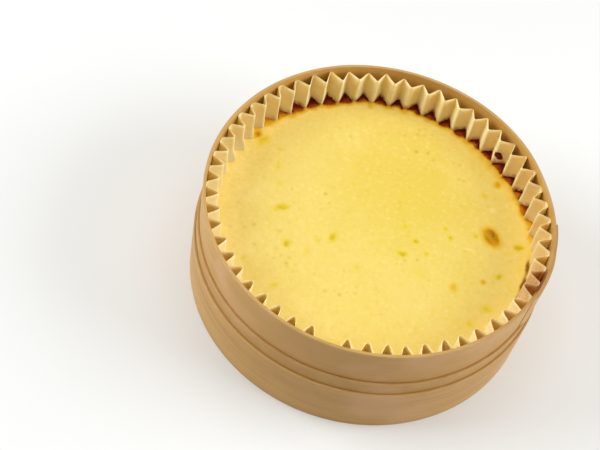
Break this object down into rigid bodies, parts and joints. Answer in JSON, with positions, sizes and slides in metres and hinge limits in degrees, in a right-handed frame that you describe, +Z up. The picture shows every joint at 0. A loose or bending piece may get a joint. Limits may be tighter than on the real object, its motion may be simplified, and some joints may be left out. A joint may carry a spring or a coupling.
{
  "type": "jiggly cheesecake",
  "caption": "Round soft baked cheesecake with a browned edge, in a fluted paper case inside the low bentwood mould it was baked in.",
  "frame": {"origin": "centre of the mould's underside, on the surface it stands on", "axes": "+Z up along the mould's axis; -Y is the front that the picture shows nearest; the veneer's lap is on the +X side"},
  "size_m": [0.1644, 0.1644, 0.06],
  "materials": {
    "cake": "soft baked custard, moist satin, stands in for food",
    "paper": "fluted baking parchment",
    "veneer": "bare bent veneer, sanded",
    "band": "bare bent veneer, slightly darker"
  },
  "bodies": {
    "root": {"cheesecake": "cake", "paper_case": "paper", "inner_hoop": "veneer", "middle_hoop": "band", "lower_hoop": "band", "mould_floor": "veneer"}
  },
  "joints": []
}
